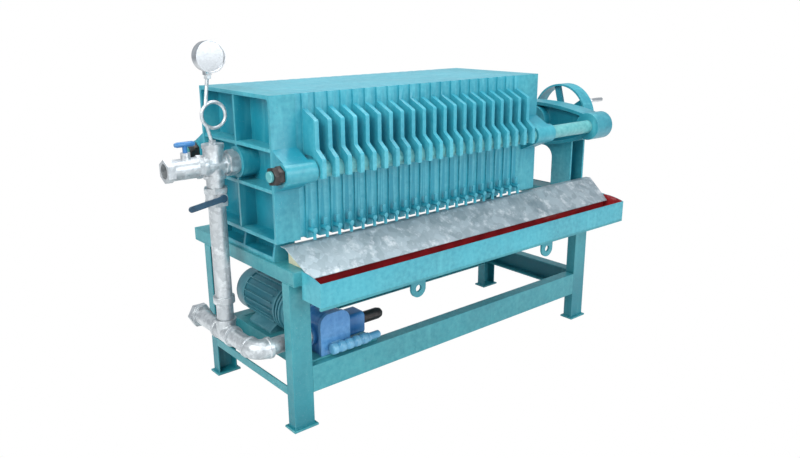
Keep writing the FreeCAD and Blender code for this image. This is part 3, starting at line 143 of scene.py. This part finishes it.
# ---------------------------------------------------------------- materials

DUST = (0.42, 0.47, 0.46)
BRIGHT_ZINC = (0.86, 0.88, 0.90)
BRUSH_STRETCH = (1.0, 1.0, 0.14)      # brush marks run upright
RUN_STRETCH = (1.0, 1.0, 0.5)         # stains on zinc run down
WET_STRETCH = (0.25, 1.0, 1.0)        # dried filtrate lies along the trough
PAINT_COAT = 0.18
ZINC_METALLIC = 0.75
SPANGLE_SCALE = 75.0


def paint(name, base, deep, pale, roughness=0.34, grain=0.35, edge_highlight=0.35):
    """Brushed machine enamel on rough metal: uneven tone, brush marks, a painted highlight on convex edges and
    a little dust.
    """
    material, tree, shader, coords = start_material(name)
    broad = noise(tree, coords, 4.0, 4.0)
    colour = mix_colour(tree, ramp(tree, broad, (0.35, 0.0), (0.68, 0.85)), base, deep)
    streaks = noise(tree, coords, 26.0, 3.0, stretch=BRUSH_STRETCH)
    colour = mix_colour(tree, ramp(tree, streaks, (0.56, 0.0), (0.78, 0.42)), colour, pale)
    # Painted highlight: pale colour on convex edges, broken up by noise, stands in for light catching the
    # rounded edges.
    edges = math_node(tree, "MULTIPLY", edge_share(tree), noise(tree, coords, 60.0, 3.0))
    colour = mix_colour(tree, math_node(tree, "MULTIPLY", edges, edge_highlight * 2.2), colour, pale)
    speckle = ramp(tree, noise(tree, coords, 190.0, 2.0), (0.66, 0.0), (0.74, 0.5))
    colour = mix_colour(tree, math_node(tree, "MULTIPLY", speckle, 0.35), colour, DUST)
    tree.links.new(colour, shader.inputs["Base Color"])
    set_roughness(tree, shader, noise(tree, coords, 14.0, 4.0), roughness - 0.10, roughness + 0.16)
    relief = math_node(tree, "ADD", noise(tree, coords, 240.0, 3.0),
                       math_node(tree, "MULTIPLY", noise(tree, coords, 45.0, 3.0), 1.6))
    bump(tree, shader, relief, grain, 0.5 * MM)
    shader.inputs["Coat Weight"].default_value = PAINT_COAT
    shader.inputs["Coat Roughness"].default_value = PAINT_COAT
    return material


def galvanised(name, base, dark, spangle=SPANGLE_SCALE, roughness=0.34):
    """Zinc with spangle cells, dull runs and a few darker stains."""
    material, tree, shader, coords = start_material(name)
    cells = add(tree, "ShaderNodeTexVoronoi", {"Vector": coords, "Scale": spangle})
    tone = add(tree, "ShaderNodeSeparateColor", {"Color": cells.outputs["Color"]}).outputs[0]
    colour = mix_colour(tree, ramp(tree, tone, (0.2, 0.0), (0.9, 0.55)), base, dark)
    stains = noise(tree, coords, 9.0, 5.0, stretch=RUN_STRETCH)
    colour = mix_colour(tree, ramp(tree, stains, (0.50, 0.0), (0.72, 0.75)), colour, dark)
    bright = noise(tree, coords, 22.0, 5.0, 0.7)
    colour = mix_colour(tree, ramp(tree, bright, (0.52, 0.0), (0.70, 0.85)), colour, BRIGHT_ZINC)
    tree.links.new(colour, shader.inputs["Base Color"])
    set_roughness(tree, shader, bright, roughness - 0.12, roughness + 0.22)
    relief = math_node(tree, "ADD", bright, math_node(tree, "MULTIPLY", tone, 0.2))
    bump(tree, shader, relief, 0.35, 0.6 * MM)
    shader.inputs["Metallic"].default_value = ZINC_METALLIC
    return material


def metal(name, base, stain, roughness, metallic=1.0, lines=0.0):
    """Bare metal with uneven tone and, if lines is set, turning marks round X."""
    material, tree, shader, coords = start_material(name)
    cloud = noise(tree, coords, 30.0, 5.0, 0.65)
    colour = mix_colour(tree, ramp(tree, cloud, (0.40, 0.0), (0.72, 0.9)), base, stain)
    tree.links.new(colour, shader.inputs["Base Color"])
    set_roughness(tree, shader, cloud, max(roughness - 0.1, 0.05), roughness + 0.2)
    fine = noise(tree, coords, 400.0, 2.0, stretch=(1.0 + lines * 6, 1.0, 1.0))
    bump(tree, shader, fine, 0.2 + 0.2 * lines, 0.3 * MM)
    shader.inputs["Metallic"].default_value = metallic
    return material


def plain_gloss(name, base, stain, roughness):
    """Smooth lacquer or enamel of small pieces, faintly uneven."""
    material, tree, shader, coords = start_material(name)
    cloud = noise(tree, coords, 55.0, 4.0)
    colour = mix_colour(tree, ramp(tree, cloud, (0.45, 0.0), (0.75, 0.8)), base, stain)
    tree.links.new(colour, shader.inputs["Base Color"])
    bump(tree, shader, noise(tree, coords, 300.0, 2.0), 0.15, 0.3 * MM)
    shader.inputs["Roughness"].default_value = roughness
    return material


TEAL = (0.010, 0.255, 0.345)
TEAL_DEEP = (0.006, 0.150, 0.215)
TEAL_PALE = (0.120, 0.500, 0.560)
TROUGH_RED = (0.36, 0.018, 0.022)
TROUGH_RED_DEEP = (0.20, 0.010, 0.014)
TROUGH_RED_DRIED = (0.62, 0.20, 0.20)
TRAY_WALL = 3.0 * MM


def tray_paint(name):
    """Teal enamel outside and dark red primer inside the trough."""
    material = paint(name, TEAL, TEAL_DEEP, TEAL_PALE)
    tree = material.node_tree
    shader = tree.nodes["Principled BSDF"]
    coords = add(tree, "ShaderNodeTexCoord").outputs["Object"]
    place = add(tree, "ShaderNodeSeparateXYZ", {"Vector": coords}).outputs
    low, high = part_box("tray")
    inside = math_node(tree, "GREATER_THAN", place["Z"], low.z + TRAY_WALL)
    for test, axis, limit in (("GREATER_THAN", "X", low.x + TRAY_WALL), ("LESS_THAN", "X", high.x - TRAY_WALL),
                              ("GREATER_THAN", "Y", low.y + TRAY_WALL), ("LESS_THAN", "Y", high.y - TRAY_WALL)):
        inside = math_node(tree, "MULTIPLY", inside, math_node(tree, test, place[axis], limit))
    cloud = noise(tree, coords, 16.0, 5.0)
    red = mix_colour(tree, ramp(tree, cloud, (0.4, 0.0), (0.7, 1.0)), TROUGH_RED, TROUGH_RED_DEEP)
    wet = noise(tree, coords, 40.0, 4.0, stretch=WET_STRETCH)
    red = mix_colour(tree, ramp(tree, wet, (0.60, 0.0), (0.75, 0.6)), red, TROUGH_RED_DRIED)
    teal = shader.inputs["Base Color"].links[0].from_socket
    tree.links.new(mix_colour(tree, inside, teal, red), shader.inputs["Base Color"])
    return material


# Paints are base, deep and pale colour. Metals are base and stain.
MATERIALS = {
    "teal": paint("teal_enamel", TEAL, TEAL_DEEP, TEAL_PALE),
    "plates": paint("plate_enamel", (0.012, 0.285, 0.385), (0.008, 0.200, 0.285), (0.150, 0.540, 0.620),
                    grain=0.5),
    "table": paint("table_enamel", (0.010, 0.215, 0.265), (0.006, 0.140, 0.185), (0.090, 0.380, 0.410),
                   roughness=0.4),
    # The rod enamel is a darker, greener teal than the frame's, a painted shade for the shadow between the
    # plate ears. Its strong edge highlight is a painted glint.
    "rod": paint("rod_enamel_shaded", (0.020, 0.250, 0.290), (0.015, 0.150, 0.170), (0.180, 0.480, 0.480), edge_highlight=0.7),
    "tray": tray_paint("tray_enamel"),
    "motor": paint("motor_enamel", (0.030, 0.180, 0.240), (0.020, 0.110, 0.150), (0.140, 0.380, 0.440),
                   roughness=0.42),
    "pump": paint("pump_enamel", (0.020, 0.160, 0.420), (0.010, 0.080, 0.220), (0.180, 0.430, 0.720),
                  roughness=0.3),
    "valve_blue": paint("relief_enamel", (0.100, 0.330, 0.520), (0.040, 0.170, 0.300), (0.380, 0.640, 0.760)),
    "dark_enamel": plain_gloss("handle_enamel", (0.012, 0.060, 0.110), (0.006, 0.030, 0.060), 0.35),
    "cream": paint("cream_primer", (0.560, 0.520, 0.340), (0.380, 0.340, 0.200), (0.760, 0.730, 0.560),
                   roughness=0.5),
    "galvanised": galvanised("galvanised_pipe", (0.62, 0.64, 0.66), (0.36, 0.38, 0.40)),
    "sheet": galvanised("galvanised_sheet", (0.50, 0.58, 0.62), (0.26, 0.33, 0.37), SPANGLE_SCALE / 2, 0.40),
    "steel": metal("turned_steel", (0.46, 0.45, 0.44), (0.20, 0.19, 0.18), 0.28, lines=1.0),
    "black_steel": metal("black_steel", (0.070, 0.062, 0.060), (0.020, 0.018, 0.018), 0.35, metallic=0.85),
    "chrome": metal("chrome_case", (0.78, 0.79, 0.80), (0.50, 0.51, 0.53), 0.14),
}


# ---------------------------------------------------------------- the CAD nodes, with eased edges

# Material and the nodes that have it.
LOOKS = (
    ("teal", ("tail_yoke", "yoke_posts", "head_plate", "follower_plate")),
    ("table", ("legs", "rim_long_rails", "rim_end_rails", "cross_beams", "lower_stretchers", "pump_beams",
               "pump_base_plate", "tray_rail")),
    ("rod", ("tie_rods",)),
    ("black_steel", ("rod_nuts", "suction_nipple")),
    ("tray", ("tray",)),
    ("sheet", ("chute",)),
    ("cream", ("chute_brackets",)),
    ("steel", ("press_screw",)),
    ("motor", ("motor", "motor_fan_cover", "coupling_bell")),
    ("pump", ("gear_pump",)),
    ("valve_blue", ("relief_valve",)),
    ("galvanised", ("feed_pipes", "lower_tee", "lower_elbow", "drain_union", "riser_pipe", "upper_cross",
                    "head_union", "return_valve", "siphon", "ball_valve")),
    ("dark_enamel", ("ball_valve_lever",)),
    ("chrome", ("pressure_gauge", "handwheel_grip")),
    ("pump", ("return_valve_handle",)),
    ("teal", ("handwheel",)),
    ("plates", PLATES),
)

# Width of the rounded edges in mm where it isn't the usual one: thin sheet has less, castings have more.
USUAL_EDGE = 1.4
EDGES = {
    "siphon": 0.0, "handwheel_grip": 0.3, "tray": 0.4, "chute": 0.4, "feed_pipes": 0.5, "tray_rail": 0.6,
    "press_screw": 0.6, "suction_nipple": 0.6, "pressure_gauge": 0.6, "return_valve_handle": 0.8,
    "ball_valve_lever": 0.8, "motor_fan_cover": 1.0, "lower_stretchers": 1.0, "rod_nuts": 1.6,
    "handwheel": 3.0, "head_plate": 4.0, "follower_plate": 4.0, "tail_yoke": 4.0,
    **dict.fromkeys(PLATES, 2.2),
}
WELD_DISTANCE = 0.005 * MM
FLAT_ANGLE = math.radians(0.6)        # faces that differ by less are joined
SHARP_ANGLE = math.radians(32.0)      # edges that turn by more are rounded
BEVEL_SEGMENTS = 2


def ease(piece, width):
    """Rounds the sharp edges of a piece by width."""
    modifier = piece.modifiers.new("eased_edges", "BEVEL")
    modifier.width = width
    modifier.segments = BEVEL_SEGMENTS
    modifier.limit_method = "ANGLE"
    modifier.angle_limit = SHARP_ANGLE
    modifier.harden_normals = False


def dressed(node, material, edge):
    """Own copy of a CAD node in its material, with its flats joined and its sharp edges rounded by edge."""
    mesh = bmesh.new()
    mesh.from_mesh(frame["nodes"][node].data)
    bmesh.ops.remove_doubles(mesh, verts=mesh.verts, dist=WELD_DISTANCE)
    bmesh.ops.dissolve_limit(mesh, angle_limit=FLAT_ANGLE, verts=mesh.verts, edges=mesh.edges)
    for face in mesh.faces:
        face.material_index = 0
    bmesh.ops.recalc_face_normals(mesh, faces=mesh.faces)
    name = "looks_" + node
    data = bpy.data.meshes.new(name)
    mesh.to_mesh(data)
    mesh.free()
    piece = bpy.data.objects.new(name, data)
    bpy.context.scene.collection.objects.link(piece)
    data.shade_smooth()
    data.set_sharp_from_angle(angle=SHARP_ANGLE)
    data.materials.append(MATERIALS[material])
    if edge:
        ease(piece, edge)
    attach(piece, BODY_OF[node])
    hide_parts(node)


for look, nodes in LOOKS:
    for node in nodes:
        dressed(node, look, EDGES.get(node, USUAL_EDGE) * MM)


# ---------------------------------------------------------------- floor, light and camera

FLOOR_HALF = 60.0
FLOOR_TONE = (0.80, 0.80, 0.80)
WHITE = (1.0, 1.0, 1.0)
SKY_TONE = (0.86, 0.93, 1.0)
SKY_STRENGTH = 0.55
LIGHT_TARGET = Vector((0, 0, 0.7))
# Name, place, size, power in watts and colour.
LIGHTS = (
    ("key_left", (-4.5, -1.5, 3.6), (3.5, 3.0), 210.0, (0.97, 1.0, 0.96)),
    ("front_fill", (0.5, -5.0, 2.6), (4.5, 3.0), 150.0, (0.92, 0.97, 1.0)),
    ("top_soft", (0.2, 0.3, 4.4), (4.0, 3.0), 120.0, WHITE),
)
CAMERA_PLACE = (-2.0353, -2.2688, 1.3994)
CAMERA_TILT = math.radians(73.88)
CAMERA_TURN = math.radians(-40.04)
CAMERA_ROLL = math.radians(-0.309)
CAMERA_LENS = 33.43
CAMERA_SENSOR = 36.0
CLIP_START = 0.05
CLIP_END = 200.0


def seen_directly(tree):
    """1 for rays that come from the camera, straight or through glass."""
    path = add(tree, "ShaderNodeLightPath")
    return math_node(tree, "MAXIMUM", path.outputs["Is Camera Ray"], path.outputs["Is Transmission Ray"])


def mix_shader(tree, share, a, b):
    made = add(tree, "ShaderNodeMixShader", {"Fac": share})
    tree.links.new(a.outputs[0], made.inputs[1])
    tree.links.new(b.outputs[0], made.inputs[2])
    return made.outputs[0]


def floor():
    """White floor for the camera, pale grey for the light that it reflects."""
    mesh = bmesh.new()
    bmesh.ops.create_grid(mesh, x_segments=1, y_segments=1, size=FLOOR_HALF)
    data = bpy.data.meshes.new("floor")
    mesh.to_mesh(data)
    mesh.free()
    made = bpy.data.objects.new("floor", data)
    bpy.context.scene.collection.objects.link(made)
    material = bpy.data.materials.new("floor_white")
    material.use_nodes = True
    tree = material.node_tree
    shader = tree.nodes["Principled BSDF"]
    shader.inputs["Base Color"].default_value = rgba(FLOOR_TONE)
    shader.inputs["Roughness"].default_value = 0.9
    glow = add(tree, "ShaderNodeEmission", {"Color": rgba(WHITE), "Strength": 1.0})
    mixed = mix_shader(tree, seen_directly(tree), shader, glow)
    tree.links.new(mixed, tree.nodes["Material Output"].inputs["Surface"])
    data.materials.append(material)


def area_light(name, place, size, power, colour):
    data = bpy.data.lights.new(name, "AREA")
    data.shape = "RECTANGLE"
    data.size, data.size_y = size
    data.energy = power
    data.color = colour
    made = bpy.data.objects.new(name, data)
    made.location = place
    made.rotation_mode = "QUATERNION"
    made.rotation_quaternion = (LIGHT_TARGET - Vector(place)).to_track_quat("-Z", "Y")
    bpy.context.scene.collection.objects.link(made)


def surroundings():
    """White for the camera, a dimmer sky for what lights the part and what its metal mirrors."""
    world = bpy.data.worlds.new("studio")
    bpy.context.scene.world = world
    world.use_nodes = True
    tree = world.node_tree
    tree.nodes.clear()
    white = add(tree, "ShaderNodeBackground", {"Color": rgba(WHITE), "Strength": 1.0})
    dim = add(tree, "ShaderNodeBackground", {"Color": rgba(SKY_TONE), "Strength": SKY_STRENGTH})
    out = add(tree, "ShaderNodeOutputWorld")
    tree.links.new(mix_shader(tree, seen_directly(tree), dim, white), out.inputs["Surface"])


def camera():
    """The photo's camera, as fitted to the frame."""
    data = bpy.data.cameras.new("photo_view")
    data.lens = CAMERA_LENS
    data.sensor_width = CAMERA_SENSOR
    data.clip_start, data.clip_end = CLIP_START, CLIP_END
    made = bpy.data.objects.new("photo_view", data)
    made.location = CAMERA_PLACE
    made.rotation_mode = "XYZ"
    made.rotation_euler = (CAMERA_TILT, 0.0, CAMERA_TURN)
    made.matrix_world = made.matrix_basis @ Matrix.Rotation(CAMERA_ROLL, 4, "Z")
    bpy.context.scene.collection.objects.link(made)
    bpy.context.scene.camera = made


floor()
surroundings()
for light in LIGHTS:
    area_light(*light)
camera()

bpy.context.scene.view_settings.view_transform = "Standard"
